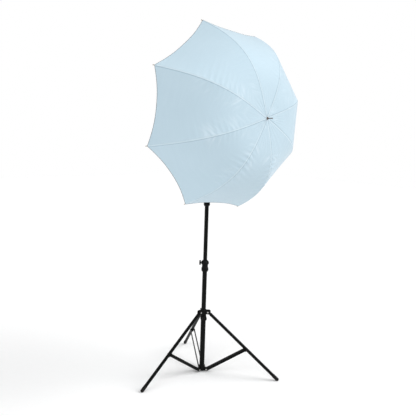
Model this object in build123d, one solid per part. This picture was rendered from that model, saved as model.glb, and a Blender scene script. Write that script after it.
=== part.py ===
"""White photographic umbrella on a folding light stand, in millimetres.

The frame: Z is up and the floor is z = 0. The origin is on the stand's axis, at floor level. The umbrella's
shaft is level and points along +X, with the ferrule at its far end. Every piece is written as its own STEP.
"""

from build123d import *
from math import atan2, cos, degrees, hypot, radians, sin, tan
import os

os.makedirs("parts", exist_ok=True)

# Column: a base tube, a sleeve that stops the leg yoke, and two risers that telescope up out of it.
BASE_TUBE_OD, BASE_TUBE_WALL = 25.4, 1.2
RISER_1_OD, RISER_1_WALL = 22.2, 1.1
RISER_2_OD, RISER_2_WALL = 19.0, 1.0
SLEEVE_OD = 28.2
BASE_TUBE_LOW, BASE_TUBE_HIGH = 8.0, 622.0
RISER_1_LENGTH, RISER_1_HIDDEN = 590.0, 230.0
RISER_2_LENGTH, RISER_2_HIDDEN = 554.0, 200.0
SLIDE_GAP = 0.3            # radial gap between pieces that slide on each other

# Clamping collars at the top of the base tube and of riser 1.
COLLAR_1_LOW, COLLAR_1_HEIGHT, COLLAR_1_RADIUS = 576.0, 62.0, 19.6
COLLAR_2_HEIGHT, COLLAR_2_RADIUS = 54.0, 17.2
KNOB_AZIMUTH = -132.0      # where the two column knobs point
SCREW_DIAMETER = 6.0
BOSS_STAND = 1.6           # how far a screw boss stands out of its collar
KNOB_SPAN = 27.0           # across the lobes of a clamp knob
KNOB_STAND = 1.2           # gap between a knob and the boss it is screwed into

# Folding tripod: three legs hinged to a yoke that slides on the column, and three pairs of brace strips.
LEG_AZIMUTHS = (33.0, 153.0, 273.0)
LEG_OD, LEG_WALL = 17.5, 1.0
HINGE_RADIUS, YOKE_HINGE_Z = 28.0, 345.0
FOOT_RADIUS, FOOT_CENTRE_Z = 9.6, 8.0
FOOT_REACH = 430.0         # from the column's axis to a foot's centre
BRACE_ON_LEG = 288.0       # from the yoke hinge down the leg to the brace's pivot
BRACE_OFFSET = 7.0         # how far the pivot lies inside the leg's own axis
BRACE_PIN_RADIUS, BRACE_PIN_Z = 30.0, 13.0
STRIP_WIDTH, STRIP_THICKNESS, STRIP_GAP = 16.0, 3.0, 20.0
PIN_DIAMETER = 5.0
PIN_GAP = 0.06             # radial running clearance round a hinge pin
YOKE_RADIUS, YOKE_KNOB_AZIMUTH = 17.0, -27.0
YOKE_LOW, YOKE_TOP_ABOVE_HINGE = 300.0, 13.0
YOKE_KNOB_Z = YOKE_LOW + 11.5
LUG_REACH, LUG_WALL, LUG_SLOT = 39.0, 4.0, 11.0

# Swivel bracket: a socket on the riser's spigot, and a tilting head that clamps the umbrella's shaft.
SHAFT_Z = 1420.0
SPIGOT_DIAMETER, SPIGOT_LENGTH = 15.9, 28.0
SOCKET_RADIUS = 15.0
TILT_Z = 1386.0
EAR_GAP, EAR_WALL, EAR_RADIUS = 15.0, 6.0, 14.0
HEAD_LENGTH, HEAD_WIDTH = 34.0, 28.0
HEAD_TOP_Z = SHAFT_Z + 14.0
STUD_DIAMETER, STUD_LENGTH = 6.35, 9.0
TILT_BOLT_DIAMETER = 6.0

# Umbrella, measured along its shaft (x) and out from it (r).
RIM_RADIUS = 500.0         # from the shaft to a rib's tip
APEX_X = 419.0             # where the canopy meets the shaft
CANOPY_DEPTH = 324.0       # from the apex back to the plane of the rib tips
PROFILE_POWER, PROFILE_SLOPE = 3.66, 0.04
RIB_COUNT, FIRST_RIB_ANGLE = 8, 17.5
CLOTH = 0.8                # thickness of the canopy's solid
CANOPY_INNER_RADIUS = 5.4
HEM_RISE = 24.0            # how far the hem draws in, halfway between two ribs
GORE_SAG = 0.012           # how far a gore draws in, as a share of its radius
EDGE_GAP = 0.2             # each panel stops this short of the middle of its gore
RIB_WIDTH, RIB_HEIGHT, RIB_GAP = 2.4, 3.0, 0.5
SHAFT_OD, SHAFT_WALL, SHAFT_TAIL_X = 8.0, 0.8, -250.0
CLAMP_GAP = 0.1            # radial gap round the shaft in the head
NOTCH_HINGE_BACK, NOTCH_HINGE_RADIUS, NOTCH_RADIUS = 10.0, 8.0, 10.5
EYE_DIAMETER = 3.6
WIRE_DIAMETER, WIRE_RADIAL_GAP = 1.0, 0.16
TIP_DIAMETER, TIP_LENGTH, TIP_BALL = 3.6, 16.0, 2.6
FERRULE_RADIUS, FERRULE_LENGTH = 6.6, 30.0
STRETCHER_JOINT_SHARE = 0.36  # where a stretcher meets its rib, as a share of the rim radius
STRETCHER_SIDE = 3.0          # a stretcher's outer end lies this far to the side of its rib
STRETCHER_EYE = 3.6
STRETCHER_PIVOT_DEPTH = 4.9   # from the canopy's top line down to the rivet
RUNNER_RING_X, RUNNER_RING_RADIUS, RUNNER_RADIUS = 310.0, 9.6, 12.5
RUNNER_TUBE_RADIUS, RUNNER_LENGTH = 6.6, 40.0
CATCH_WIDTH, CATCH_LENGTH, CATCH_HEIGHT, CATCH_ANGLE = 2.0, 13.0, 2.4, -95.0

UP = Axis.Z
OUTWARD = (Align.MIN, Align.CENTER, Align.MIN)
UPWARD = (Align.CENTER, Align.CENTER, Align.MIN)
RIB_ANGLES = [FIRST_RIB_ANGLE + 360.0 / RIB_COUNT * k for k in range(RIB_COUNT)]
HALF_GORE = radians(180.0 / RIB_COUNT)


def rod(diameter, start, end):
    """A round bar between two points."""
    way = Vector(*end) - Vector(*start)
    plane = Plane(origin=start, z_dir=way)
    return plane * Cylinder(diameter / 2, way.length, align=UPWARD)


def crossbar(diameter, x, z, half):
    """A round bar across the XZ plane, this far to each side of it."""
    return rod(diameter, (x, -half, z), (x, half, z))


def ring(outer, inner, low, high):
    """A plain tube about Z."""
    height = high - low
    return Pos(0, 0, low) * (Cylinder(outer, height, align=UPWARD) - Cylinder(inner, height, align=UPWARD))


def turned(points):
    """A solid of revolution about Z from (radius, height) corners."""
    outline = Polyline([(r, 0, z) for r, z in points], close=True)
    return revolve(make_face(outline), UP)


def around(shape, azimuth):
    """The shape turned about the column's axis."""
    return Rot(0, 0, azimuth) * shape


def on_umbrella(shape, angle):
    """A piece drawn with the shaft along X and its own radius along Z, put at its angle round the shaft."""
    return Pos(0, 0, SHAFT_Z) * Rot(angle - 90.0, 0, 0) * shape


def save(name, *solids):
    """Writes one node, a single solid or a group of separate ones."""
    shape = solids[0] if len(solids) == 1 else Compound(children=list(solids))
    export_step(shape, f"parts/{name}.step")


# ---------------------------------------------------------------- column

def base_tube():
    """The stand's lowest and widest tube."""
    return ring(BASE_TUBE_OD / 2, BASE_TUBE_OD / 2 - BASE_TUBE_WALL, BASE_TUBE_LOW, BASE_TUBE_HIGH)


def stop_sleeve():
    """A sleeve on the base tube. Its top edge stops the leg yoke, which sets the spread of the legs."""
    return ring(SLEEVE_OD / 2, BASE_TUBE_OD / 2 + SLIDE_GAP / 2, FOOT_HUB_HIGH, YOKE_LOW - SLIDE_GAP)


def riser(od, wall, low, length):
    """A tube that telescopes out of the one below it."""
    return ring(od / 2, od / 2 - wall, low, low + length)


def riser_bush(od, wall, low, outer_bore):
    """The plastic ring on a riser's foot that guides it in the tube outside."""
    height, lip = 24.0, 3.0
    skirt = ring(outer_bore - SLIDE_GAP / 2, od / 2, low, low + height)
    plug = ring(outer_bore - SLIDE_GAP / 2, od / 2 - wall - 1.0, low - lip, low)
    return skirt + plug


def collar(low, height, radius, tube_radius, tube_top, riser_radius, knob_z, knob_azimuth):
    """A moulded clamp on the outer tube's end, necked in its middle, with a boss for the knob."""
    high = low + height
    seat = tube_radius + 0.05
    bore = riser_radius + SLIDE_GAP
    waist = radius - 3.2
    body = turned([
        (seat, low), (radius - 4.0, low), (radius, low + 7.0), (radius, low + 0.32 * height),
        (waist, low + 0.42 * height), (waist, low + 0.60 * height), (radius, low + 0.68 * height),
        (radius, high - 7.0), (radius - 3.5, high), (bore, high),
        (bore, tube_top + 0.2), (seat, tube_top + 0.2),
    ])
    boss = rod(14.0, (bore + 1.5, 0, 0), (radius + BOSS_STAND, 0, 0))
    nut_boss = rod(12.0, (-bore - 1.5, 0, 0), (-radius - BOSS_STAND, 0, 0))
    tap = rod(SCREW_DIAMETER + 4 * PIN_GAP, (0, 0, 0), (radius + 9.0, 0, 0))
    body += around(Pos(0, 0, knob_z) * (boss + nut_boss - ring(seat + 0.5, 0.01, -20, 20)), knob_azimuth)
    return body - around(Pos(0, 0, knob_z) * tap, knob_azimuth)


def lobed_knob(reach_in, seat, span):
    """A clamp screw along +X from reach_in, with a dished, six-lobed grip that starts at seat."""
    screw = rod(SCREW_DIAMETER, (reach_in, 0, 0), (seat + 2.0, 0, 0))
    edge = span / 2
    grip = along_shaft([
        (0, seat), (5.5, seat), (6.0, seat + 2.6), (edge - 2.6, seat + 0.8), (edge, seat + 2.6),
        (edge, seat + 7.6), (edge - 2.2, seat + 9.6), (6.0, seat + 8.2), (0, seat + 8.2),
    ])
    flute = rod(8.0, (seat - 1.0, 0, edge + 2.4), (seat + 12.0, 0, edge + 2.4))
    for k in range(6):
        grip -= Rot(60.0 * k + 30.0, 0, 0) * flute
    return screw + grip


# ---------------------------------------------------------------- tripod

LEG_DROP = YOKE_HINGE_Z - FOOT_CENTRE_Z
LEG_RUN = FOOT_REACH - HINGE_RADIUS
LEG_ANGLE = atan2(LEG_RUN, LEG_DROP)             # from straight down, in radians
LEG_LENGTH = hypot(LEG_RUN, LEG_DROP)            # hinge to foot centre
FOOT_HUB_HIGH = 34.0
LEG_TOP = 20.0                                   # the tube starts this far below the hinge


def brace_pivot():
    """Where a brace meets its leg, as (radius, height)."""
    out, down = sin(LEG_ANGLE), cos(LEG_ANGLE)
    radius = HINGE_RADIUS + BRACE_ON_LEG * out - BRACE_OFFSET * down
    height = YOKE_HINGE_Z - BRACE_ON_LEG * down - BRACE_OFFSET * out
    return radius, height


def foot_bracket():
    """The fixed hub at the foot of the column, with one lug for each pair of brace strips."""
    seat = BASE_TUBE_OD / 2 + 0.05
    hub = turned([
        (0, 5.0), (16.0, 5.0), (17.6, 7.0), (17.6, FOOT_HUB_HIGH - 3.0), (16.0, FOOT_HUB_HIGH),
        (seat, FOOT_HUB_HIGH), (seat, BASE_TUBE_LOW), (0, BASE_TUBE_LOW),
    ])
    half = STRIP_GAP / 2 - 0.4
    lug = Pos(14.0, 0, BRACE_PIN_Z - 7.6) * Box(BRACE_PIN_RADIUS - 14.0, 2 * half, 15.2, align=OUTWARD)
    nose = crossbar(15.2, BRACE_PIN_RADIUS, BRACE_PIN_Z, half)
    hole = crossbar(PIN_DIAMETER + 2 * PIN_GAP, BRACE_PIN_RADIUS, BRACE_PIN_Z, 30)
    core = ring(seat, 0.001, BASE_TUBE_LOW, FOOT_HUB_HIGH + 5)
    arm = (lug + nose) - hole - core
    for azimuth in LEG_AZIMUTHS:
        hub += around(arm, azimuth)
    return hub


def hinge_pin(radius, height, half_length):
    """A riveted pin across a hinge, with a domed head at each end."""
    head, dome = 9.0, 1.8
    pin = crossbar(PIN_DIAMETER, radius, height, half_length)
    left = rod(head, (radius, -half_length - dome, height), (radius, -half_length, height))
    right = rod(head, (radius, half_length, height), (radius, half_length + dome, height))
    return pin + left + right


def leg_yoke():
    """The collar that slides on the column, with a forked lug for the top of each leg and a clamp below."""
    top = YOKE_HINGE_Z + YOKE_TOP_ABOVE_HINGE
    bore = BASE_TUBE_OD / 2 + SLIDE_GAP
    hub = turned([
        (bore, YOKE_LOW), (15.4, YOKE_LOW), (YOKE_RADIUS, YOKE_LOW + 4.0), (YOKE_RADIUS, YOKE_LOW + 19.0),
        (15.2, YOKE_LOW + 23.0), (15.2, YOKE_LOW + 27.0), (YOKE_RADIUS, YOKE_LOW + 31.0),
        (YOKE_RADIUS, top - 2.0), (15.0, top), (bore, top),
    ])
    core = ring(bore, 0.001, YOKE_LOW - 5, top + 5)
    width = LUG_SLOT + 2 * LUG_WALL
    low = YOKE_HINGE_Z - 11.0
    plate = Pos(12.0, 0, low) * Box(LUG_REACH - 12.0, width, top - 1.0 - low, align=OUTWARD)
    plate = fillet(plate.edges().filter_by(Axis.Y).sort_by(Axis.X)[-2:], 8.0)
    slot = Pos(YOKE_RADIUS + 0.8, 0, low - 1) * Box(40, LUG_SLOT, 60, align=OUTWARD)
    hole = crossbar(PIN_DIAMETER + 2 * PIN_GAP, HINGE_RADIUS, YOKE_HINGE_Z, 30)
    lug = plate - slot - hole - core
    for azimuth in LEG_AZIMUTHS:
        hub += around(lug, azimuth)
    knob_place = Rot(0, 0, YOKE_KNOB_AZIMUTH) * Pos(0, 0, YOKE_KNOB_Z)
    boss = rod(13.0, (bore + 2.0, 0, 0), (YOKE_RADIUS + BOSS_STAND, 0, 0))
    tap = rod(SCREW_DIAMETER + 4 * PIN_GAP, (5, 0, 0), (40, 0, 0))
    return hub + (knob_place * boss - core) - knob_place * tap


def along_leg(shape):
    """A piece drawn hanging straight down from its hinge at the origin, put on its leg in the XZ plane."""
    return Pos(HINGE_RADIUS, 0, YOKE_HINGE_Z) * Rot(0, -degrees(LEG_ANGLE), 0) * shape


def leg():
    """A leg: its eyed end fitting, its tube, and the saddle and pin that carry the brace."""
    flat = LUG_SLOT - 0.8
    eye = crossbar(14.0, 0, 0, flat / 2)
    neck = Pos(0, 0, -LEG_TOP) * Box(13.0, flat, LEG_TOP, align=UPWARD)
    shoulder = rod(LEG_OD, (0, 0, -LEG_TOP), (0, 0, -LEG_TOP + 6.0))
    spud = rod(LEG_OD - 2 * LEG_WALL, (0, 0, -LEG_TOP - 18.0), (0, 0, -LEG_TOP))
    fitting = (eye + neck + shoulder + spud) - crossbar(PIN_DIAMETER + 2 * PIN_GAP, 0, 0, 20)
    tube = ring(LEG_OD / 2, LEG_OD / 2 - LEG_WALL, -LEG_LENGTH + 14.0, -LEG_TOP)
    return [along_leg(s) for s in (fitting, tube, *brace_saddle())]


def brace_saddle():
    """The block under the leg's tube that the brace's pin goes through, and the pin's two ends."""
    x, z, wide, half = -BRACE_OFFSET, -BRACE_ON_LEG, 10.0, STRIP_GAP / 2 - 0.3
    tube_space = ring(LEG_OD / 2 + 0.02, 0.001, z - 40.0, z + 40.0)
    block = Pos(x - 1.5, 0, z) * (Box(9.0, wide, 24.0) + crossbar(9.0, -4.5, 0, wide / 2))
    left = rod(7.0, (x, wide / 2 + 0.05, z), (x, half, z))
    right = rod(7.0, (x, -half, z), (x, -wide / 2 - 0.05, z))
    return block - tube_space, left - tube_space, right - tube_space


def rubber_foot():
    """A rounded rubber plug on the leg's end, flattened where it stands on the floor."""
    low = -LEG_LENGTH
    cap = Pos(0, 0, low) * Sphere(FOOT_RADIUS)
    cap += ring(FOOT_RADIUS, 0.001, low, low + 30.0)
    cap -= ring(LEG_OD / 2 + 0.02, 0.001, low + 14.0 - 0.02, low + 40.0)
    floor = Pos(FOOT_REACH, 0, -50) * Box(100, 100, 50, align=UPWARD)
    return along_leg(cap) - floor


def brace():
    """Two flat strips, one on each side of the foot lug and the leg, with a rivet head at the top of each."""
    top_r, top_z = brace_pivot()
    run, rise = top_r - BRACE_PIN_RADIUS, top_z - BRACE_PIN_Z
    length = hypot(run, rise)
    outline = Plane.XZ * (Pos(length / 2, 0) * SlotCenterToCenter(length, STRIP_WIDTH))
    strip = extrude(outline, STRIP_THICKNESS / 2, both=True)
    hole = crossbar(PIN_DIAMETER + 2 * PIN_GAP, 0, 0, 10)
    head = rod(9.0, (length, STRIP_THICKNESS / 2, 0), (length, STRIP_THICKNESS / 2 + 1.8, 0))
    offset = STRIP_GAP / 2 + STRIP_THICKNESS / 2
    place = Pos(BRACE_PIN_RADIUS, 0, BRACE_PIN_Z) * Rot(0, -degrees(atan2(rise, run)), 0)
    one = (strip - hole) + head
    other = Rot(180, 0, 0) * one
    return [place * Pos(0, offset, 0) * one, place * Pos(0, -offset, 0) * other]


# ---------------------------------------------------------------- swivel bracket

RISER_1_LOW = BASE_TUBE_HIGH - RISER_1_HIDDEN
RISER_1_TOP = RISER_1_LOW + RISER_1_LENGTH
COLLAR_2_LOW = RISER_1_TOP - COLLAR_2_HEIGHT + 14.0
RISER_2_LOW = RISER_1_TOP - RISER_2_HIDDEN
RISER_2_TOP = RISER_2_LOW + RISER_2_LENGTH
KNOB_1_Z = COLLAR_1_LOW + 0.80 * COLLAR_1_HEIGHT
KNOB_2_Z = COLLAR_2_LOW + 0.80 * COLLAR_2_HEIGHT
SOCKET_LOW = RISER_2_TOP + 3.4
BASE_KNOB_Z = RISER_2_TOP + 17.0
BASE_KNOB_AZIMUTH = 180.0


def spigot():
    """The turned stud on top of the column: a plug in the riser, a flange, and a necked stud."""
    r, z = SPIGOT_DIAMETER / 2, RISER_2_TOP
    plug = RISER_2_OD / 2 - RISER_2_WALL - 0.02
    flange = RISER_2_OD / 2 + 0.6
    return turned([
        (0, z - 22.0), (plug, z - 22.0), (plug, z), (flange, z), (flange, z + 3.0), (r, z + 3.0),
        (r, z + 9.0), (r - 2.0, z + 11.0), (r - 2.0, z + 21.0), (r, z + 23.0), (r, z + SPIGOT_LENGTH - 1.0),
        (r - 1.0, z + SPIGOT_LENGTH), (0, z + SPIGOT_LENGTH),
    ])


def bracket_base():
    """The socket that sits on the spigot, with a fork above it for the tilting head."""
    top = TILT_Z - EAR_RADIUS - 0.6
    bore = SPIGOT_DIAMETER / 2 + 0.08
    ceiling = RISER_2_TOP + SPIGOT_LENGTH + 1.5
    body = turned([
        (bore, SOCKET_LOW), (SOCKET_RADIUS - 1.0, SOCKET_LOW), (SOCKET_RADIUS, SOCKET_LOW + 1.0),
        (SOCKET_RADIUS, top), (0, top), (0, ceiling), (bore, ceiling),
    ])
    width = EAR_GAP + 2 * EAR_WALL
    fork = Pos(0, 0, top - 4.0) * Box(22.0, width, TILT_Z - top + 4.0, align=UPWARD)
    fork += crossbar(22.0, 0, TILT_Z, width / 2)
    fork -= Pos(0, 0, top) * Box(60, EAR_GAP, 80, align=UPWARD)
    fork -= tilt_bolt_hole()
    knob_place = Rot(0, 0, BASE_KNOB_AZIMUTH) * Pos(0, 0, BASE_KNOB_Z)
    boss = knob_place * rod(12.0, (bore + 2.0, 0, 0), (SOCKET_RADIUS + BOSS_STAND, 0, 0))
    tap = knob_place * rod(SCREW_DIAMETER + 4 * PIN_GAP, (0, 0, 0), (40, 0, 0))
    return body + fork + boss - tap


def tilt_bolt_hole():
    return crossbar(TILT_BOLT_DIAMETER + 2 * PIN_GAP, 0, TILT_Z, 40)


def bracket_head():
    """The tilting block: a tongue on the tilt bolt, and a bored block that holds the umbrella's shaft."""
    width, low, high = EAR_GAP - 0.8, TILT_Z + EAR_RADIUS - 1.0, HEAD_TOP_Z
    tongue = crossbar(2 * EAR_RADIUS - 1.0, 0, TILT_Z, width / 2)
    tongue += Pos(0, 0, TILT_Z) * Box(22.0, width, EAR_RADIUS + 4, align=UPWARD)
    block = Pos(0, 0, low) * Box(HEAD_LENGTH, HEAD_WIDTH, high - low, align=UPWARD)
    block = fillet(block.edges().filter_by(Axis.Z), 5.0)
    block = chamfer(block.faces().sort_by(UP)[-1].edges(), 1.5)
    bore = rod(SHAFT_OD + 2 * CLAMP_GAP, (-40, 0, SHAFT_Z), (40, 0, SHAFT_Z))
    tap = rod(SCREW_DIAMETER + 4 * PIN_GAP, (0, 0, SHAFT_Z), (0, 40, SHAFT_Z))
    stud_hole = rod(STUD_DIAMETER, (0, 0, high - 8.0), (0, 0, high + 5))
    return tongue + block - tilt_bolt_hole() - bore - tap - stud_hole


def light_stud():
    """The threaded stud on top of the head, for a lamp or a flash shoe."""
    high = HEAD_TOP_Z
    flange = rod(14.0, (0, 0, high), (0, 0, high + 2.4))
    return rod(STUD_DIAMETER - 0.04, (0, 0, high - 7.9), (0, 0, high + 2.4 + STUD_LENGTH)) + flange


def tilt_lever():
    """The bolt through the fork, with a nut on one side and a long handle on the other."""
    half = EAR_GAP / 2 + EAR_WALL + 0.3
    bolt = rod(TILT_BOLT_DIAMETER, (0, -half - 4.0, TILT_Z), (0, half + 3.0, TILT_Z))
    nut = rod(12.0, (0, half, TILT_Z), (0, half + 5.0, TILT_Z))
    hub = rod(15.0, (0, -half - 10.0, TILT_Z), (0, -half, TILT_Z))
    handle = turned([(0, 0), (4.4, 0), (4.4, 30.0), (5.6, 34.0), (6.0, 37.0), (5.6, 40.0), (3.4, 43.0), (0, 43.6)])
    way = Vector(-30.0, -5.0, -24.0)
    grip = Plane(origin=(0, -half - 5.0, TILT_Z), z_dir=way) * handle
    return bolt + nut + hub + grip


# ---------------------------------------------------------------- umbrella

NOTCH_X = APEX_X - NOTCH_HINGE_BACK
RIM_X = APEX_X - CANOPY_DEPTH
RUNNER_HALF = 5.0                                # from the runner's ring of wire to its front face
RUNNER_TAIL = RUNNER_RING_X + RUNNER_HALF - RUNNER_LENGTH
CATCH_X = RUNNER_TAIL - 0.6 - CATCH_LENGTH / 2


def profile(share):
    """The canopy's top line over a rib at a share of the rim's radius, and its outward normal, as (x, r)."""
    back = CANOPY_DEPTH * (PROFILE_SLOPE * share + (1 - PROFILE_SLOPE) * share ** PROFILE_POWER)
    rate = PROFILE_SLOPE + (1 - PROFILE_SLOPE) * PROFILE_POWER * share ** (PROFILE_POWER - 1)
    fall = CANOPY_DEPTH * rate / RIM_RADIUS
    size = hypot(1.0, fall)
    return (APEX_X - back, RIM_RADIUS * share), (1.0 / size, fall / size)


def below(share, depth):
    """A point this far under the canopy's top line, in the plane of the rib, as (x, r)."""
    (x, r), (nx, nr) = profile(share)
    return x - nx * depth, r - nr * depth


def canopy_panel():
    """The cloth over one rib, to the middle of the gore on each side: a thin roof, the rib its ridge."""
    slope, first = tan(HALF_GORE), CANOPY_INNER_RADIUS / RIM_RADIUS
    sections = []
    for share in (first, 0.14, 0.28, 0.42, 0.55, 0.67, 0.78, 0.88, 0.95, 1.0, 1.05):
        (x, r), (nx, nr) = profile(share)
        drop = slope ** 2 * nr * r / (1 + (slope * nr) ** 2) + GORE_SAG * r * share
        half = (r - drop * nr) * slope - EDGE_GAP
        top = [(x - nx * drop, -half, r - nr * drop), (x, 0, r), (x - nx * drop, half, r - nr * drop)]
        under = [(px - nx * CLOTH, py, pz - nr * CLOTH) for px, py, pz in reversed(top)]
        sections.append(make_face(Polyline(top + under, close=True)))
    return loft(sections) - hem_cut()


def hem_cut():
    """Everything behind the hem, which curves in between the rib tips."""
    half = RIM_RADIUS * sin(HALF_GORE) * cos(HALF_GORE)
    edge_x, far, wide = RIM_X + HEM_RISE, RIM_X - 200.0, half + 60.0
    left, right, tip = (edge_x, -half), (edge_x, half), (RIM_X, 0.0)
    bow = 0.25 * HEM_RISE
    mid_left = (RIM_X + HEM_RISE / 2 + bow, -half / 2)
    mid_right = (RIM_X + HEM_RISE / 2 + bow, half / 2)
    edge = ThreePointArc(left, mid_left, tip) + ThreePointArc(tip, mid_right, right)
    back = Polyline(right, (edge_x, wide), (far, wide), (far, -wide), (edge_x, -wide), left)
    return Pos(0, 0, RIM_RADIUS * 0.6) * extrude(make_face(edge + back), RIM_RADIUS * 0.7)


def rib():
    """A steel rib under the canopy, from the eye at the notch to the rim, as a flat curved bar."""
    shares = [0.05, 0.15, 0.3, 0.45, 0.6, 0.72, 0.83, 0.92, 0.995]
    top = [below(s, CLOTH + RIB_GAP) for s in shares]
    bottom = [below(s, CLOTH + RIB_GAP + RIB_HEIGHT) for s in shares]
    hinge = (NOTCH_X, NOTCH_HINGE_RADIUS)
    ridge = Spline(*[(x, 0, r) for x, r in top])
    keel = Spline(*[(x, 0, r) for x, r in reversed(bottom)])
    heel = Polyline(keel @ 1, (hinge[0] - 1.2, 0, hinge[1]), (hinge[0] + 1.2, 0, hinge[1]), ridge @ 0)
    outline = ridge + Line(ridge @ 1, keel @ 0) + keel + heel
    bar = extrude(make_face(outline), RIB_WIDTH / 2, both=True)
    eye = crossbar(EYE_DIAMETER, *hinge, RIB_WIDTH / 2)
    lug = crossbar(STRETCHER_EYE, *stretcher_joint(), RIB_WIDTH / 2)
    bore = crossbar(WIRE_DIAMETER + 2 * WIRE_RADIAL_GAP, *hinge, 5)
    return bar + eye + lug - bore


def rib_tip():
    """The turned cap on a rib's end, with a ball that the canopy's corner is tied behind."""
    (x, r), (nx, nr) = profile(0.995)
    middle = CLOTH + RIB_GAP + RIB_HEIGHT / 2
    start = (x - nx * middle, 0, r - nr * middle)
    end = (start[0] - nr * TIP_LENGTH, 0, start[2] + nx * TIP_LENGTH)
    return rod(TIP_DIAMETER, start, end) + Pos(*end) * Sphere(TIP_BALL)


def stretcher_joint():
    """Where a stretcher is riveted to the lug under its rib, as (x, r)."""
    return below(STRETCHER_JOINT_SHARE, STRETCHER_PIVOT_DEPTH)


def stretcher():
    """A flat bar from the runner to the side of its rib, eyed at both ends."""
    jx, jr = stretcher_joint()
    run, rise = jx - RUNNER_RING_X, jr - RUNNER_RING_RADIUS
    length = hypot(run, rise)
    bar = Pos(length / 2, 0, 0) * Box(length, RIB_WIDTH, RIB_HEIGHT)
    inner = crossbar(EYE_DIAMETER, 0, 0, RIB_WIDTH / 2)
    outer = crossbar(STRETCHER_EYE, length, 0, RIB_WIDTH / 2)
    rivet = rod(3.0, (length, RIB_WIDTH / 2, 0), (length, RIB_WIDTH / 2 + 0.8, 0))
    bore = crossbar(WIRE_DIAMETER + 2 * WIRE_RADIAL_GAP, 0, 0, 5)
    shape = bar + inner + outer + rivet - bore
    splay = degrees(atan2(STRETCHER_SIDE, length))
    place = Pos(RUNNER_RING_X, 0, RUNNER_RING_RADIUS) * Rot(0, -degrees(atan2(rise, run)), 0)
    return place * Rot(0, 0, splay) * shape


def along_shaft(points):
    """A solid of revolution about the shaft from (radius, x) corners."""
    return Rot(0, 90, 0) * turned(points)


def slots(x_low, x_high, r_low, width):
    """The eight radial slots of a notch or a runner, as one cutting tool each."""
    one = Pos(x_low, 0, r_low) * Box(x_high - x_low, width, 20, align=OUTWARD)
    return [Rot(a - 90.0, 0, 0) * one for a in RIB_ANGLES]


def wire_ring(x, radius, diameter):
    """The ring of wire that the eyes of the ribs or stretchers hang on."""
    return Pos(x, 0, 0) * Rot(0, 90, 0) * Torus(radius, diameter / 2)


def hub_with_slots(points, ring_x, ring_radius):
    """A notched hub on the shaft with its ring of wire, ready to take eight eyes."""
    hub = along_shaft(points)
    reach = EYE_DIAMETER / 2 + 0.5
    for cut in slots(ring_x - reach, ring_x + reach, ring_radius - reach, RIB_WIDTH + 0.8):
        hub -= cut
    return hub - wire_ring(ring_x, ring_radius, WIRE_DIAMETER + 0.04)


def notch():
    """The crown fixed on the shaft under the canopy, which the ribs hinge in."""
    x, r = NOTCH_X, NOTCH_RADIUS
    bore = SHAFT_OD / 2 + 0.02
    outline = [(bore, x - 6.0), (7.4, x - 6.0), (r, x - 3.4), (r, x + 2.0), (8.6, x + 3.4), (bore, x + 3.4)]
    hub = hub_with_slots(outline, x, NOTCH_HINGE_RADIUS)
    for cut in slots(x - 8.0, x, NOTCH_HINGE_RADIUS - 2.3, RIB_WIDTH + 0.8):
        hub -= cut
    return hub


def runner():
    """The sleeve that slides on the shaft and pushes the eight stretchers out."""
    x, tail, front = RUNNER_RING_X, RUNNER_TAIL, RUNNER_RING_X + RUNNER_HALF
    bore, neck, head = SHAFT_OD / 2 + 0.15, RUNNER_TUBE_RADIUS, RUNNER_RADIUS
    back = x - RUNNER_HALF
    outline = [
        (bore, tail), (neck + 2.0, tail), (neck + 2.0, tail + 4.0), (neck, tail + 6.0), (neck, back),
        (head, back + 1.5), (head, front - 1.5), (head - 1.5, front), (bore, front),
    ]
    hub = hub_with_slots(outline, x, RUNNER_RING_RADIUS)
    for cut in slots(x, x + 20.0, RUNNER_RING_RADIUS - 2.3, RIB_WIDTH + 0.8):
        hub -= cut
    channel_height = SHAFT_OD / 2 + CATCH_HEIGHT + 0.5
    channel = Pos(tail - 1, 0, 0) * Box(RUNNER_LENGTH + 2, CATCH_WIDTH + 1.0, channel_height, align=OUTWARD)
    return hub - Rot(CATCH_ANGLE - 90.0, 0, 0) * channel


def shaft():
    """The umbrella's tube, slotted for its catch."""
    outer = SHAFT_OD / 2
    inner = outer - SHAFT_WALL
    low, high = SHAFT_TAIL_X, APEX_X + 3.0
    body = along_shaft([(inner, low), (outer, low), (outer, high), (inner, high)])
    window = Pos(CATCH_X, 0, 0) * Box(CATCH_LENGTH + 0.8, CATCH_WIDTH + 0.5, 20, align=UPWARD)
    return body - Rot(CATCH_ANGLE - 90.0, 0, 0) * window


def catch():
    """The sprung wedge that stops the runner from sliding back."""
    low, skin, high = 0.4, SHAFT_OD / 2, SHAFT_OD / 2 + CATCH_HEIGHT
    front, back = CATCH_LENGTH / 2, -CATCH_LENGTH / 2
    ramp = Polyline((front, 0, high), (back + 5.0, 0, high - 0.4), (back, 0, skin - 0.4))
    outline = ramp + Polyline((back, 0, skin - 0.4), (back, 0, low), (front, 0, low), (front, 0, high))
    wedge = extrude(make_face(outline), CATCH_WIDTH / 2, both=True)
    return Pos(CATCH_X, 0, 0) * wedge


def ferrule():
    """The cap that nips the canopy on the end of the shaft, with a thin nose and a ball."""
    x, r = APEX_X + 1.2, FERRULE_RADIUS
    bore = SHAFT_OD / 2 + 0.02
    nose = x + FERRULE_LENGTH
    return along_shaft([
        (0, APEX_X + 3.1), (bore, APEX_X + 3.1), (bore, x), (r, x), (r, x + 1.6), (r - 1.4, x + 3.4),
        (2.6, x + 5.0), (2.2, x + 7.0), (2.2, nose - 2.6), (0, nose - 2.6),
    ]) + Pos(nose, 0, 0) * Sphere(3.1)


def end_cap():
    """The plastic stopper on the shaft's tail."""
    x, r = SHAFT_TAIL_X, SHAFT_OD / 2
    plug = r - SHAFT_WALL - 0.02
    return along_shaft([
        (0, x + 12.0), (plug, x + 12.0), (plug, x), (r + 0.6, x), (r + 0.6, x - 1.4),
        (r - 0.8, x - 3.0), (0, x - 3.0),
    ])


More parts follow.
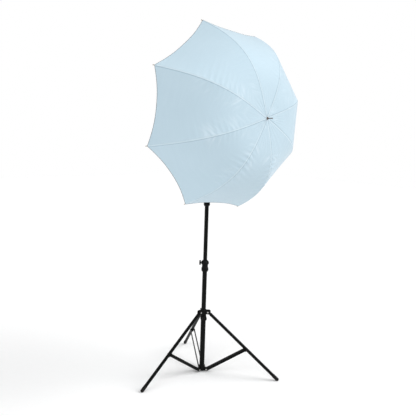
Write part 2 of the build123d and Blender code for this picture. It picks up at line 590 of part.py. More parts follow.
# ---------------------------------------------------------------- the pieces, one node each

def build_column():
    """The tubes, the two collars with their knobs, and the spigot."""
    save("base_tube", base_tube())
    save("stop_sleeve", stop_sleeve())
    base_bore = BASE_TUBE_OD / 2 - BASE_TUBE_WALL
    riser_1_bore = RISER_1_OD / 2 - RISER_1_WALL
    save("riser_1", riser(RISER_1_OD, RISER_1_WALL, RISER_1_LOW, RISER_1_LENGTH),
         riser_bush(RISER_1_OD, RISER_1_WALL, RISER_1_LOW - 0.02, base_bore))
    save("riser_2", riser(RISER_2_OD, RISER_2_WALL, RISER_2_LOW, RISER_2_LENGTH),
         riser_bush(RISER_2_OD, RISER_2_WALL, RISER_2_LOW - 0.02, riser_1_bore))
    lower = collar(COLLAR_1_LOW, COLLAR_1_HEIGHT, COLLAR_1_RADIUS, BASE_TUBE_OD / 2, BASE_TUBE_HIGH,
                   RISER_1_OD / 2, KNOB_1_Z, KNOB_AZIMUTH)
    upper = collar(COLLAR_2_LOW, COLLAR_2_HEIGHT, COLLAR_2_RADIUS, RISER_1_OD / 2, RISER_1_TOP,
                   RISER_2_OD / 2, KNOB_2_Z, KNOB_AZIMUTH)
    save("lower_collar", lower)
    save("upper_collar", upper)
    knob = lobed_knob(RISER_1_OD / 2 + 0.4, COLLAR_1_RADIUS + BOSS_STAND + KNOB_STAND, KNOB_SPAN)
    save("lower_collar_knob", around(Pos(0, 0, KNOB_1_Z) * knob, KNOB_AZIMUTH))
    knob = lobed_knob(RISER_2_OD / 2 + 0.4, COLLAR_2_RADIUS + BOSS_STAND + KNOB_STAND, KNOB_SPAN)
    save("upper_collar_knob", around(Pos(0, 0, KNOB_2_Z) * knob, KNOB_AZIMUTH))
    save("spigot", spigot())


def build_tripod():
    """The foot bracket, the yoke, and three legs, feet and braces."""
    save("foot_bracket", foot_bracket())
    pin = hinge_pin(BRACE_PIN_RADIUS, BRACE_PIN_Z, STRIP_GAP / 2 + STRIP_THICKNESS + 0.3)
    save("foot_bracket_pins", *[around(pin, azimuth) for azimuth in LEG_AZIMUTHS])
    save("leg_yoke", leg_yoke())
    pin = hinge_pin(HINGE_RADIUS, YOKE_HINGE_Z, LUG_SLOT / 2 + LUG_WALL + 0.02)
    save("leg_yoke_pins", *[around(pin, azimuth) for azimuth in LEG_AZIMUTHS])
    knob = lobed_knob(BASE_TUBE_OD / 2 + 0.4, YOKE_RADIUS + BOSS_STAND + KNOB_STAND, KNOB_SPAN)
    save("leg_yoke_knob", around(Pos(0, 0, YOKE_KNOB_Z) * knob, YOKE_KNOB_AZIMUTH))
    for n, azimuth in enumerate(LEG_AZIMUTHS, 1):
        save(f"leg_{n}", *[around(s, azimuth) for s in leg()])
        save(f"leg_{n}_foot", around(rubber_foot(), azimuth))
        save(f"brace_{n}", *[around(s, azimuth) for s in brace()])


def build_bracket():
    """The socket, the tilting head and their lever, knobs and stud."""
    save("bracket_base", bracket_base())
    knob = lobed_knob(SPIGOT_DIAMETER / 2 - 1.6, SOCKET_RADIUS + BOSS_STAND + KNOB_STAND, 24.0)
    save("bracket_base_knob", around(Pos(0, 0, BASE_KNOB_Z) * knob, BASE_KNOB_AZIMUTH))
    save("bracket_head", bracket_head())
    save("light_stud", light_stud())
    save("tilt_lever", tilt_lever())
    knob = lobed_knob(SHAFT_OD / 2 + 0.2, HEAD_WIDTH / 2 + KNOB_STAND, 24.0)
    save("shaft_clamp_knob", around(Pos(0, 0, SHAFT_Z) * knob, 90.0))


def build_umbrella():
    """The shaft and what is on it, and eight panels, ribs and stretchers."""
    level = Pos(0, 0, SHAFT_Z)
    save("umbrella_shaft", level * shaft())
    save("ferrule", level * ferrule())
    save("rib_notch", level * notch(), level * wire_ring(NOTCH_X, NOTCH_HINGE_RADIUS, WIRE_DIAMETER))
    save("runner", level * runner(), level * wire_ring(RUNNER_RING_X, RUNNER_RING_RADIUS, WIRE_DIAMETER))
    save("shaft_end_cap", level * end_cap())
    save("runner_catch", on_umbrella(catch(), CATCH_ANGLE))
    panel, bar, tip, strut = canopy_panel(), rib(), rib_tip(), stretcher()
    for n, angle in enumerate(RIB_ANGLES, 1):
        save(f"canopy_panel_{n}", on_umbrella(panel, angle))
        save(f"rib_{n}", on_umbrella(bar, angle), on_umbrella(tip, angle))
        save(f"stretcher_{n}", on_umbrella(strut, angle))


build_column()
build_tripod()
build_bracket()
build_umbrella()
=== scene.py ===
from math import cos, exp, hypot, pi, radians, sin, tan

import bpy
from mathutils import Matrix, Vector


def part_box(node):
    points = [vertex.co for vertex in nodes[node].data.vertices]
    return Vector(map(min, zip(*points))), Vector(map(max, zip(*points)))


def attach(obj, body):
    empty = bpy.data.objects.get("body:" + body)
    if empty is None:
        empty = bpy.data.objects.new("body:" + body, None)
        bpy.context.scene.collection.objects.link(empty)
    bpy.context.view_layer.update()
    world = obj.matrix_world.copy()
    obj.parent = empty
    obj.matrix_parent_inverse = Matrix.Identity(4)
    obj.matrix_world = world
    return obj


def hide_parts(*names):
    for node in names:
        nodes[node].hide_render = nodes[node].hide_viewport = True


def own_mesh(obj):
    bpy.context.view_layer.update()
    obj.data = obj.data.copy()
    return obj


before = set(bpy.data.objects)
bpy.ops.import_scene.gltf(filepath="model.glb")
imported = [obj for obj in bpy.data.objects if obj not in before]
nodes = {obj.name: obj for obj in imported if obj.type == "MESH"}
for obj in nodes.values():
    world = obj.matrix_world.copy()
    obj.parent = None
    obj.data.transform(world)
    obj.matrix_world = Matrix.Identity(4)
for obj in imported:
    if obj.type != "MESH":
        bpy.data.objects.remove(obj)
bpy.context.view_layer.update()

# ---------------------------------------------------------------- column
# Four drawn steel tubes: a base tube, a sleeve round its foot that stops the leg yoke, and two risers that
# telescope. All are sprayed with satin black enamel, and sliding leaves fine scratches along the tubes.


class Tone:
    """A number, colour or vector in a finish's shader. Arithmetic on it adds the shader's own maths."""

    def __init__(self, tree, socket):
        self.tree, self.socket = tree, socket

    def make(self, kind, settings=None, out=0, **sockets):
        """Adds a node, sets it up, feeds it values or other tones, and gives one of its outputs."""
        node = self.tree.nodes.new(kind)
        for name, value in (settings or {}).items():
            if name == "stops":
                for element, (place, colour) in zip(node.color_ramp.elements, value):
                    element.position, element.color = place, colour
            else:
                setattr(node, name, value)
        for name, value in sockets.items():
            key = int(name[1:]) if name[0] == "_" else name.replace("_", " ")
            self.feed(node.inputs[key], value)
        return Tone(self.tree, node.outputs[out])

    def feed(self, socket, value):
        """Links a tone to a socket, or sets the socket to a value of the kind that it takes."""
        if isinstance(value, Tone):
            self.tree.links.new(value.socket, socket)
        elif socket.type == "VECTOR" and isinstance(value, (int, float)):
            socket.default_value = (value,) * 3
        elif socket.type == "RGBA" and len(value) == 3:
            socket.default_value = (*value, 1.0)
        else:
            socket.default_value = value

    def work(self, operation, first, second=0.0, third=0.0):
        """Adds one Math node, or one Vector Math node where a term is a colour or a vector."""
        terms = (first, second, third)
        wide = any(isinstance(t, tuple) or isinstance(t, Tone) and t.socket.type != "VALUE" for t in terms)
        kind = "ShaderNodeVectorMath" if wide else "ShaderNodeMath"
        return self.make(kind, {"operation": operation}, _0=first, _1=second, _2=third)

    def __add__(self, other):
        return self.work("ADD", self, other)

    def __radd__(self, other):
        return self.work("ADD", other, self)

    def __sub__(self, other):
        return self.work("SUBTRACT", self, other)

    def __rsub__(self, other):
        return self.work("SUBTRACT", other, self)

    def __mul__(self, other):
        return self.work("MULTIPLY", self, other)

    def __rmul__(self, other):
        return self.work("MULTIPLY", other, self)

    def __truediv__(self, other):
        return self.work("DIVIDE", self, other)

    def __abs__(self):
        return self.work("ABSOLUTE", self)

    def within(self, low, high):
        """0 up to low, 1 from high on, and smooth between them."""
        settings = {"interpolation_type": "SMOOTHSTEP"}
        return self.make("ShaderNodeMapRange", settings, Value=self, From_Min=low, From_Max=high)

    def mix(self, start, end):
        """From the colour start, where this tone is 0, to the colour end, where it is 1."""
        settings = {"data_type": "RGBA"}
        return self.make("ShaderNodeMix", settings, out=2, _0=self, _6=start, _7=end)

    def noise(self, scale, detail=3.0, roughness=0.5):
        return self.make("ShaderNodeTexNoise", Vector=self, Scale=scale, Detail=detail, Roughness=roughness)


class Finish:
    """A material. Constants go straight on its surface shader, and tones are sprayed on by channel."""

    def __init__(self, name, **constants):
        self.material = bpy.data.materials.new(name)
        self.material.use_nodes = True
        tree = self.material.node_tree
        self.surface = tree.nodes["Principled BSDF"]
        for key, value in constants.items():
            self.surface.inputs[key.replace("_", " ")].default_value = value
        coordinates = tree.nodes.new("ShaderNodeTexCoord")
        self.place = Tone(tree, coordinates.outputs["Object"])
        self.cloth = Tone(tree, coordinates.outputs["UV"])

    def spray(self, channel, tone):
        self.place.feed(self.surface.inputs[channel], tone)

    def relief(self, height, distance, strength=1.0):
        """Raises the surface by up to distance where the tone height is 1."""
        bump = height.make("ShaderNodeBump", Height=height, Distance=distance, Strength=strength)
        self.spray("Normal", bump)

    def put_on(self, *names):
        """Covers the named CAD pieces with this material alone."""
        for name in names:
            nodes[name].data.materials.clear()
            nodes[name].data.materials.append(self.material)


def satin_enamel(name, streaks):
    """Satin black spray enamel. streaks stretches its scratches along the way that the piece slides."""
    enamel = Finish(name, Coat_Weight=0.02, Coat_Roughness=0.2, Specular_IOR_Level=0.07)
    cloudy = enamel.place.noise(14.0, 4.0)
    scratch = (enamel.place * streaks).noise(1.0, 5.0, 0.65).within(0.60, 0.72)
    dust = enamel.place.noise(160.0, 6.0, 0.7).within(0.62, 0.80)
    black = cloudy.mix((0.0022, 0.0026, 0.0025), (0.0048, 0.0056, 0.0052))
    enamel.spray("Base Color", (scratch * 0.14 + dust * 0.16).mix(black, (0.050, 0.056, 0.053)))
    enamel.spray("Roughness", 0.27 + cloudy * 0.10 + scratch * 0.12 + dust * 0.15)
    enamel.relief(enamel.place.noise(900.0, 2.0) + scratch * 0.3, 0.00006)
    return enamel


tube_enamel = satin_enamel("satin enamel on column", (520.0, 520.0, 14.0))
tube_enamel.put_on("base_tube", "stop_sleeve", "riser_1", "riser_2")

# ---------------------------------------------------------------- tripod legs and braces
# Three steel tubes with pressed end fittings, and three pairs of steel strips, in the same satin enamel.
# The legs hinge on the yoke, and the strips join each leg to the foot bracket.

leg_enamel = satin_enamel("satin enamel on legs", (170.0, 170.0, 170.0))
leg_enamel.put_on("leg_1", "leg_2", "leg_3", "brace_1", "brace_2", "brace_3")

# ---------------------------------------------------------------- yoke, bracket and clamp collars
# Glass-filled nylon, injection moulded in black with a fine spark-eroded grain, a little greyer where it is
# rubbed. The yoke and collars are clamps that their screws pinch on the tubes.


def moulded_nylon(name, grain_scale):
    """Black moulded nylon. A larger grain_scale makes its spark-eroded grain finer."""
    nylon = Finish(name, Specular_IOR_Level=0.09)
    blotch = nylon.place.noise(22.0, 3.0)
    cells = {"feature": "F1"}
    grain = nylon.place.make("ShaderNodeTexVoronoi", cells, Vector=nylon.place, Scale=grain_scale)
    rub = nylon.place.noise(75.0, 5.0, 0.6).within(0.55, 0.78)
    black = blotch.mix((0.0030, 0.0033, 0.0033), (0.0065, 0.0069, 0.0069))
    nylon.spray("Base Color", (rub * 0.30).mix(black, (0.045, 0.047, 0.046)))
    nylon.spray("Roughness", 0.46 + blotch * 0.12 - rub * 0.10)
    nylon.relief(grain + nylon.place.noise(300.0) * 0.4, 0.00012)
    return nylon


collar_nylon = moulded_nylon("moulded nylon on collars", 1300.0)
collar_nylon.put_on("foot_bracket", "leg_yoke", "lower_collar", "upper_collar")
collar_nylon.put_on("runner", "rib_notch", "shaft_end_cap")
knob_nylon = moulded_nylon("moulded nylon on clamp knobs", 900.0)
knob_nylon.put_on("leg_yoke_knob", "lower_collar_knob", "upper_collar_knob")
knob_nylon.put_on("bracket_base_knob", "shaft_clamp_knob")

# ---------------------------------------------------------------- feet
# Rubber plugs pushed on the leg ends, matt black, with floor dust rubbed into their lowest part.

rubber = Finish("foot rubber", Specular_IOR_Level=0.15)
height = rubber.place.make("ShaderNodeSeparateXYZ", out=2, Vector=rubber.place)
floor_dust = 1.0 - height.within(0.001, 0.012)
speckle = rubber.place.noise(420.0, 5.0, 0.7)
rubber.spray("Base Color", (floor_dust * speckle * 0.8).mix((0.008, 0.008, 0.008), (0.09, 0.086, 0.082)))
rubber.spray("Roughness", 0.70 + speckle * 0.18)
rubber.relief(speckle, 0.00025)
rubber.put_on("leg_1_foot", "leg_2_foot", "leg_3_foot")

# ---------------------------------------------------------------- rivets, spigot and stud
# Turned steel with dull zinc plating: the hinge rivets, the spigot, the light stud and the runner's catch.

zinc = Finish("dull zinc plating")
turning = (zinc.place * (300.0, 300.0, 2600.0)).noise(1.0, 2.0)
tarnish = zinc.place.noise(240.0, 4.0, 0.6)
zinc.spray("Base Color", tarnish.mix((0.30, 0.30, 0.29), (0.56, 0.56, 0.55)))
zinc.spray("Metallic", 1.0 - tarnish * 0.25)
zinc.spray("Roughness", 0.26 + tarnish * 0.22)
zinc.relief(turning, 0.00004)
zinc.put_on("foot_bracket_pins", "leg_yoke_pins", "spigot", "light_stud", "runner_catch")

# ---------------------------------------------------------------- swivel bracket
# Die-cast alloy with a wrinkled black powder coat, chipped in a few places: the socket with its fork, the
# tilting head, and the lever.

powder = Finish("wrinkled powder coat", Specular_IOR_Level=0.3)
soft_cells = {"feature": "SMOOTH_F1"}
wrinkle = powder.place.make("ShaderNodeTexVoronoi", soft_cells, Vector=powder.place, Scale=820.0)
chipped = powder.place.noise(120.0, 6.0, 0.7).within(0.70, 0.76)
powder.spray("Base Color", chipped.mix((0.014, 0.014, 0.0145), (0.33, 0.33, 0.34)))
powder.spray("Roughness", 0.42 + wrinkle * 0.2)
powder.spray("Metallic", chipped * 0.9)
powder.relief(wrinkle, 0.00022)
powder.put_on("bracket_base", "bracket_head", "tilt_lever")

# ---------------------------------------------------------------- umbrella shaft and ferrule
# The shaft is bright plated steel tube with faint drawing lines. The ferrule is turned brown plastic that
# nips the canopy on the shaft's end.

plated = Finish("bright plated tube")
drawing = (plated.place * (9.0, 1500.0, 1500.0)).noise(1.0, 3.0)
handled = plated.place.noise(60.0, 4.0)
plated.spray("Base Color", handled.mix((0.62, 0.62, 0.62), (0.80, 0.80, 0.81)))
plated.spray("Metallic", 1.0 - handled * 0.05)
plated.spray("Roughness", 0.10 + drawing * 0.12 + handled * 0.10)
plated.relief(drawing, 0.00002)
plated.put_on("umbrella_shaft")

brown = Finish("turned brown plastic", Coat_Weight=0.3, Coat_Roughness=0.2)
lathe_rings = (brown.place * (1400.0, 60.0, 60.0)).noise(1.0, 2.0)
brown.spray("Base Color", brown.place.noise(130.0).mix((0.050, 0.032, 0.026), (0.105, 0.070, 0.055)))
brown.spray("Roughness", 0.30 + lathe_rings * 0.15)
brown.relief(lathe_rings, 0.00008)
brown.put_on("ferrule")

# ---------------------------------------------------------------- ribs and stretchers
# Eight ribs and eight stretchers of thin spring steel, dipped in black enamel that has worn at the edges.

rib_names = [f"rib_{n}" for n in range(1, 9)]
dipped = Finish("dipped black enamel", Coat_Weight=0.2, Coat_Roughness=0.25)
dip_runs = dipped.place.noise(55.0, 4.0)
worn = dipped.place.noise(380.0, 5.0, 0.7).within(0.66, 0.74)
dipped.spray("Base Color", worn.mix((0.018, 0.019, 0.020), (0.30, 0.30, 0.30)))
dipped.spray("Metallic", worn * 0.8)
dipped.spray("Roughness", 0.30 + dip_runs * 0.15)
dipped.relief(dip_runs, 0.0001)
dipped.put_on(*rib_names, *[f"stretcher_{n}" for n in range(1, 9)])

# ---------------------------------------------------------------- canopy
# Eight gores of white woven nylon, sewn edge to edge along the ribs and pulled tight by them. Each gore is
# made in two halves, and each half goes with its own rib as the umbrella closes.
# The shape is that of the ribs underneath, with the gores drawn in between them.

SHAFT_Z = sum(c.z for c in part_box("umbrella_shaft")) / 2
RIB_COUNT, FIRST_RIB = 8, radians(17.5)
HALF_GORE = pi / RIB_COUNT
APEX_X, CANOPY_DEPTH, RIM_RADIUS = 0.419, 0.324, 0.500
PROFILE_POWER, PROFILE_SLOPE = 3.66, 0.04
HOLE_SHARE, HEM_RISE, GORE_SAG = 0.0108, 0.024, 0.012
ROWS, COLUMNS = 132, 26
CLOTH_LENGTH = 0.58         # the weave is laid out as if the cloth were this long from crown to hem
HEM_ROLL = 0.0013           # radius of the rolled hem tape
ROLL_SIDES = 8
FELL_WIDTH = 0.0032         # half the width of the felled seam over a rib
STITCH_LENGTH = 0.0032
THREADS = 5200.0            # how fast the weave's ridges follow each other, in radians per metre
# How much the cloth over each rib puckers beside its seam: the two lowest ribs pull hardest.
PUCKER = {1: 0.5, 2: 0.6, 3: 0.5, 4: 0.9, 5: 0.8, 6: 1.5, 7: 1.5, 8: 0.6}


def rib_line(share):
    """The cloth's line over a rib at a share of the rim's radius: its (x, r), and its outward normal."""
    fall = CANOPY_DEPTH / RIM_RADIUS * (
        PROFILE_SLOPE + (1 - PROFILE_SLOPE) * PROFILE_POWER * share ** (PROFILE_POWER - 1))
    back = CANOPY_DEPTH * (PROFILE_SLOPE * share + (1 - PROFILE_SLOPE) * share ** PROFILE_POWER)
    size = hypot(1.0, fall)
    return (APEX_X - back, RIM_RADIUS * share), (1.0 / size, fall / size)


def gore_middle(share):
    """How deep the middle of a gore lies below its ribs, and how far it is from them sideways."""
    (x, r), (nx, nr) = rib_line(share)
    slope = tan(HALF_GORE)
    depth = slope ** 2 * nr * r / (1 + (slope * nr) ** 2) + GORE_SAG * r * share
    half = (r - depth * nr) * slope
    return depth, half, Vector((x - nx * depth, half, r - nr * depth))


def middle_slope(share):
    """How fast the cloth deepens at the middle of a gore, so that it runs smoothly into the other half."""
    _, half, here = gore_middle(share)
    along = gore_middle(share + 0.001)[2] - here
    nx, nr = rib_line(share)[1]
    turning = cos(HALF_GORE) * (nr * along.x - nx * along.z) - sin(HALF_GORE) * nx * along.y
    return half * sin(HALF_GORE) * along.x / turning


def cloth_point(share, across, lift=0.0):
    """A point of a half gore in its rib's own frame. across is 0 over the rib, 1 in the gore's middle."""
    (x, r), (nx, nr) = rib_line(share)
    full, half, _ = gore_middle(share)
    bend = middle_slope(share) - full
    depth = (full - bend) * across + bend * across ** 2
    aside = (half + lift * nr * tan(HALF_GORE)) * across
    return Vector((x - nx * (depth - lift), aside, r - nr * (depth - lift)))


def hem_share(across):
    """The share at which the cloth ends: the hem curves in between the rib tips."""
    goal = APEX_X - CANOPY_DEPTH + HEM_RISE * (1 - (1 - across) ** 2)
    low, high = 0.8, 1.02
    for _ in range(30):
        middle = (low + high) / 2
        if cloth_point(middle, across).x > goal:
            low = middle
        else:
            high = middle
    return low


def ripple(share, across, rib, gore):
    """How far the cloth stands out from its smooth shape: pleats at the crown, puckers beside the seams."""
    along = share * CLOTH_LENGTH
    spread = share / (0.13 + 0.04 * sin(2.6 * gore))
    pleats = (0.0006 + 0.0004 * sin(3.7 * gore)) * spread * exp(0.5 - 0.5 * spread ** 2)
    pleats *= (cos(2 * pi * across * (2 + gore % 2)) - 1) / 2
    swell = exp(-((share - 0.60) / 0.22) ** 2)
    wave = sin(2 * pi * along / 0.029 - 3.2 * across + 1.7 * rib + 2.2 * sin(9.0 * along + rib))
    puckers = 0.0020 * PUCKER[rib] * swell * wave * exp(-across / 0.30) * min(1.0, across / 0.08)
    billow = 0.0016 * sin(5.0 * share + 1.3 * gore) * across ** 2 * (3 - 2 * across) * share
    pull = -0.0018 * exp(-((1.0 - share) / 0.09) ** 2) * sin(pi * across) ** 2
    return pleats + puckers + billow + pull


def rib_turn(rib):
    """Puts a piece drawn in a rib's own frame, with the rib in its XZ plane, in place round the shaft."""
    angle = FIRST_RIB + 2 * HALF_GORE * (rib - 1)
    return Matrix.Translation((0, 0, SHAFT_Z)) @ Matrix.Rotation(angle - pi / 2, 4, "X")


ACROSS = [(column / COLUMNS) ** 1.35 for column in range(COLUMNS + 1)]
HEM = [hem_share(across) for across in ACROSS]


def roll_hem(points, faces, uvs, slots, side):
    """Adds the rolled hem tape along the last row of cloth."""
    edge, first = len(points) - COLUMNS - 1, len(points)
    slope_x, slope_r = rib_line(0.97)[1]
    inward = Vector((-slope_x, 0, -slope_r))
    for column in range(COLUMNS + 1):
        end, before = points[edge + column], points[edge + column - COLUMNS - 1]
        out = (end - before).normalized()
        middle = end + out * HEM_ROLL * 0.9 + inward * HEM_ROLL * 0.5
        for k in range(ROLL_SIDES):
            turn = 2 * pi * k / ROLL_SIDES
            points.append(middle + (out * cos(turn) + inward * sin(turn)) * HEM_ROLL)
            uvs.append((side * middle.y, CLOTH_LENGTH + 0.02 + 0.001 * k))
    for column in range(COLUMNS):
        ring = first + column * ROLL_SIDES
        for k in range(ROLL_SIDES):
            a, b = ring + k, ring + (k + 1) % ROLL_SIDES
            quad = [a, b, b + ROLL_SIDES, a + ROLL_SIDES]
            faces.append(quad if side > 0 else quad[::-1])
            slots.append(1)


def half_gore(rib, side, first_row, last_row):
    """The cloth between two rows, from a rib to the middle of the gore on its left (+1) or right (-1)."""
    gore = (rib - 2 if side > 0 else rib - 1) % RIB_COUNT
    points, faces, uvs, slots = [], [], [], []
    for row in range(first_row, last_row + 1):
        for across, hem in zip(ACROSS, HEM):
            share = HOLE_SHARE + (hem - HOLE_SHARE) * (row / ROWS)
            point = cloth_point(share, across, ripple(share, across, rib, gore))
            points.append(Vector((point.x, side * point.y, point.z)))
            uvs.append((side * point.y, share * CLOTH_LENGTH))
    for row in range(last_row - first_row):
        for column in range(COLUMNS):
            a = row * (COLUMNS + 1) + column
            quad = [a, a + 1, a + COLUMNS + 2, a + COLUMNS + 1]
            faces.append(quad if side < 0 else quad[::-1])
            slots.append(0)
    if last_row == ROWS:
        roll_hem(points, faces, uvs, slots, side)
    place = "" if last_row - first_row == ROWS else "_crown" if first_row == 0 else "_hem"
    mesh = bpy.data.meshes.new(f"gore_half_{rib}_{'left' if side > 0 else 'right'}{place}")
    mesh.from_pydata([rib_turn(rib) @ p for p in points], [], faces)
    layer = mesh.uv_layers.new(name="cloth")
    for loop in mesh.loops:
        layer.data[loop.index].uv = uvs[loop.vertex_index]
    mesh.polygons.foreach_set("material_index", slots)
    mesh.shade_smooth()
    piece = bpy.data.objects.new(mesh.name, mesh)
    bpy.context.scene.collection.objects.link(piece)
    return piece


nylon = Finish("white woven nylon", Sheen_Weight=0.25, Sheen_Roughness=0.5, Specular_IOR_Level=0.35)
across_cloth = nylon.cloth.make("ShaderNodeSeparateXYZ", out=0, Vector=nylon.cloth)
along_cloth = nylon.cloth.make("ShaderNodeSeparateXYZ", out=1, Vector=nylon.cloth)
from_seam = abs(across_cloth)
# The felled seam over a rib. Its mask gives the seam its roughness and bump, and it also paints a paler
# band on the seam, which is a painted highlight.
felled_seam_and_highlight = 1.0 - from_seam.within(FELL_WIDTH * 0.8, FELL_WIDTH)
stitches = along_cloth / STITCH_LENGTH
beat = stitches.work("FRACT", stitches)
thread = beat.within(0.15, 0.25) * (1.0 - beat.within(0.75, 0.85))
row_of_stitches = (1.0 - abs(from_seam - FELL_WIDTH * 0.62).within(0.0002, 0.00045)) * thread
weave_u = abs(across_cloth.work("SINE", across_cloth * THREADS))
weave_v = abs(along_cloth.work("SINE", along_cloth * THREADS))
bars = (nylon.cloth * (3.0, 150.0, 1.0)).noise(1.0, 2.0)
cloudy = nylon.place.noise(7.0, 3.0)
white = (cloudy * 0.5 + bars * 0.5).mix((0.490, 0.638, 0.728), (0.545, 0.688, 0.778))
# Painted highlight: the slanting strain puckers beside the seams are painted paler where light would catch
# their ridges. The same mask also raises them in the bump.
slant = nylon.cloth * (10.0, 38.0, 1.0) + from_seam * (0.0, -26.0, 0.0) + nylon.place * 2.0
strain_and_pucker_highlight = slant.noise(1.0, 2.0, 0.5).within(0.47, 0.66)
strain_and_pucker_highlight = strain_and_pucker_highlight * (1.0 - from_seam.within(0.025, 0.085)) * along_cloth.within(0.12, 0.20)
strain_and_pucker_highlight = strain_and_pucker_highlight * (1.0 - along_cloth.within(0.36, 0.50)) * nylon.place.noise(4.5, 1.0).within(0.42, 0.58)
# Painted highlight: radiating streaks near the crown are painted paler and stand in for light falling on
# the crown's pleats.
radiating = (nylon.place * (1.0, 42.0, 42.0)).noise(1.0, 2.0).within(0.5, 0.75)
crown = (1.0 - along_cloth.within(0.03, 0.11)) * radiating
# The painted highlights on the puckers and crown pleats are mixed into the cloth's colour here.
with_painted_highlights = (strain_and_pucker_highlight * 0.50 + crown * 0.6).mix(white, (0.670, 0.790, 0.875))
# Painted shadow: a dark line on one side of each seam stands in for the shadow that the raised seam casts
# on the cloth.
painted_seam_shadow = 1.0 - abs(across_cloth + FELL_WIDTH * 1.3).within(0.0006, 0.0026)
shaded = (painted_seam_shadow * 0.60).mix((felled_seam_and_highlight * 0.55).mix(with_painted_highlights, (0.680, 0.810, 0.890)), (0.270, 0.410, 0.500))
nylon.spray("Base Color", (row_of_stitches * 0.5).mix(shaded, (0.80, 0.86, 0.90)))
nylon.spray("Roughness", 0.62 + bars * 0.12 - felled_seam_and_highlight * 0.05)
rise = felled_seam_and_highlight * 0.8 + row_of_stitches * 0.5 + weave_u * weave_v * 0.10 + bars * 0.25 + strain_and_pucker_highlight * 1.1
nylon.relief(rise, 0.0006)

hem_tape = Finish("grey hem tape", Sheen_Weight=0.2, Specular_IOR_Level=0.3)
tape_weave = (hem_tape.cloth * (900.0, 900.0, 1.0)).noise(1.0, 2.0)
hem_tape.spray("Base Color", tape_weave.mix((0.055, 0.065, 0.075), (0.11, 0.125, 0.14)))
hem_tape.spray("Roughness", 0.75 + tape_weave * 0.15)
hem_tape.relief(tape_weave, 0.0002)

# The share of its width listed for each half for when the runner is right back. The two halves of the
# lowest gore have their hem in a part of its own, listed with a smaller share so that the column would pass
# between them.
GATHER = 0.93
GATHER_AT_COLUMN = {(7, 1): 0.36, (6, -1): 0.62}
COLUMN_ROW = 110


def cloth_parts(rib, side):
    """The first row, last row and kept width of each part of a half gore."""
    if (rib, side) in GATHER_AT_COLUMN:
        return [(0, COLUMN_ROW, GATHER), (COLUMN_ROW, ROWS, GATHER_AT_COLUMN[rib, side])]
    return [(0, ROWS, GATHER)]


for rib in range(1, RIB_COUNT + 1):
    for side in (1, -1):
        for first_row, last_row, keep in cloth_parts(rib, side):
            cloth = half_gore(rib, side, first_row, last_row)
            cloth.data.materials.append(nylon.material)
            cloth.data.materials.append(hem_tape.material)
            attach(cloth, f"rib_{rib}")
            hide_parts(f"canopy_panel_{rib}")
            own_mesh(cloth)

# ---------------------------------------------------------------- rib tips
# Beige nylon caps pressed on the rib ends. The canopy's corner is sewn through the hole behind each ball.

caps = Finish("beige nylon", Specular_IOR_Level=0.5)
mottle = caps.place.noise(500.0, 3.0)
caps.spray("Base Color", mottle.mix((0.40, 0.34, 0.28), (0.52, 0.46, 0.39)))
caps.spray("Roughness", 0.38 + mottle * 0.15)
caps.relief(mottle, 0.0001)
CAP_SIDES = 16
CAP_DEPTH = 0.0028          # from the cloth's outer face down to a cap's own axis
# The cap's profile from its mouth to the end of its ball: the distance along it, and the radius there.
CAP_OUTLINE = [(0.0, 0.0021), (0.001, 0.0024), (0.008, 0.0023), (0.0095, 0.0019), (0.0135, 0.0018),
               (0.0145, 0.0024), (0.0160, 0.0029), (0.0176, 0.0024), (0.0186, 0.0012), (0.0189, 0.0)]

for rib in range(1, RIB_COUNT + 1):
    (x, r), (nx, nr) = rib_line(0.995)
    start = Vector((x - nx * CAP_DEPTH, 0, r - nr * CAP_DEPTH))
    along, out = Vector((-nr, 0, nx)), Vector((nx, 0, nr))
    points, faces = [], []
    for distance, radius in CAP_OUTLINE:
        for k in range(CAP_SIDES):
            turn = 2 * pi * k / CAP_SIDES
            ring = out * cos(turn) * radius + Vector((0, sin(turn) * radius, 0))
            points.append(rib_turn(rib) @ (start + along * distance + ring))
    for k in range(CAP_SIDES * (len(CAP_OUTLINE) - 1)):
        beside = k + 1 if (k + 1) % CAP_SIDES else k + 1 - CAP_SIDES
        faces.append([k, beside, beside + CAP_SIDES, k + CAP_SIDES])
    mesh = bpy.data.meshes.new(f"rib_tip_cap_{rib}")
    mesh.from_pydata(points, [], faces)
    mesh.shade_smooth()
    cap = bpy.data.objects.new(mesh.name, mesh)
    bpy.context.scene.collection.objects.link(cap)
    cap.data.materials.append(caps.material)
    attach(cap, f"rib_{rib}")

# ---------------------------------------------------------------- floor and light
# A seamless pale floor, a large soft light high on the right, and weaker ones on the left and above.

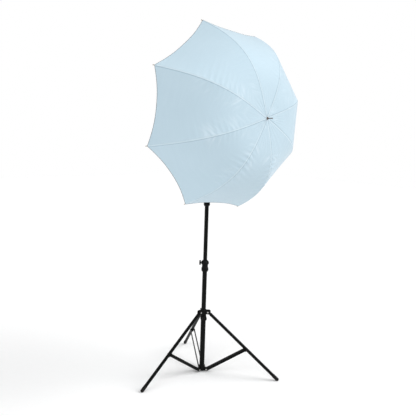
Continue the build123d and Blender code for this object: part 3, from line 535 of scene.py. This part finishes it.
stage_mesh = bpy.data.meshes.new("studio_floor")
reach = 12.0
corners = [(-reach, -reach, 0), (reach, -reach, 0), (reach, reach, 0), (-reach, reach, 0)]
stage_mesh.from_pydata(corners, [], [[0, 1, 2, 3]])
studio_floor = bpy.data.objects.new("studio_floor", stage_mesh)
bpy.context.scene.collection.objects.link(studio_floor)
paper = Finish("pale paper sweep", Specular_IOR_Level=0.2)
paper_fibre = paper.place.noise(40.0, 4.0)
paper.spray("Base Color", paper_fibre.mix((0.94, 0.94, 0.94), (0.97, 0.97, 0.97)))
paper.spray("Roughness", 0.85 + paper_fibre * 0.1)
studio_floor.data.materials.append(paper.material)

world = bpy.data.worlds.new("studio")
bpy.context.scene.world = world
world.use_nodes = True
sky = world.node_tree.nodes["Background"]
sky.inputs["Color"].default_value = (1.0, 1.0, 1.0, 1.0)
seen = world.node_tree.nodes.new("ShaderNodeLightPath")
level = world.node_tree.nodes.new("ShaderNodeMapRange")
level.inputs["To Min"].default_value, level.inputs["To Max"].default_value = 0.38, 1.0
world.node_tree.links.new(seen.outputs["Is Camera Ray"], level.inputs["Value"])
world.node_tree.links.new(level.outputs["Result"], sky.inputs["Strength"])
bpy.context.scene.view_settings.view_transform = "Standard"


def soft_light(name, place, strength, spread):
    """A light that is the same over the whole floor. place is the direction that it shines from."""
    light = bpy.data.objects.new(name, bpy.data.lights.new(name, "SUN"))
    light.data.energy, light.data.angle = strength, radians(spread)
    light.rotation_euler = Vector(place).to_track_quat("Z", "Y").to_euler()
    bpy.context.scene.collection.objects.link(light)


soft_light("key", (0.62, 0.66, 0.72), 2.1, 40.0)
soft_light("fill", (0.30, -0.90, 0.62), 1.15, 45.0)
soft_light("top", (0.10, 0.10, 1.00), 0.35, 60.0)

# ---------------------------------------------------------------- camera
# It stands in front and to the right, near the height of the umbrella, and is turned a little on its axis.

YAW, PITCH, ROLL = radians(137.88), radians(-7.47), radians(1.80)
forward = Vector((cos(YAW) * cos(PITCH), sin(YAW) * cos(PITCH), sin(PITCH)))
right = Vector((sin(YAW), -cos(YAW), 0))
up = right.cross(forward)
camera = bpy.data.objects.new("camera", bpy.data.cameras.new("camera"))
camera.data.lens, camera.data.sensor_width = 50.95, 36.0
camera.location = (2.378, -2.141, 1.351)
tilted_right = right * cos(ROLL) + up * sin(ROLL)
tilted_up = up * cos(ROLL) - right * sin(ROLL)
camera.rotation_euler = Matrix((tilted_right, tilted_up, -forward)).transposed().to_euler()
bpy.context.scene.collection.objects.link(camera)
bpy.context.scene.camera = camera
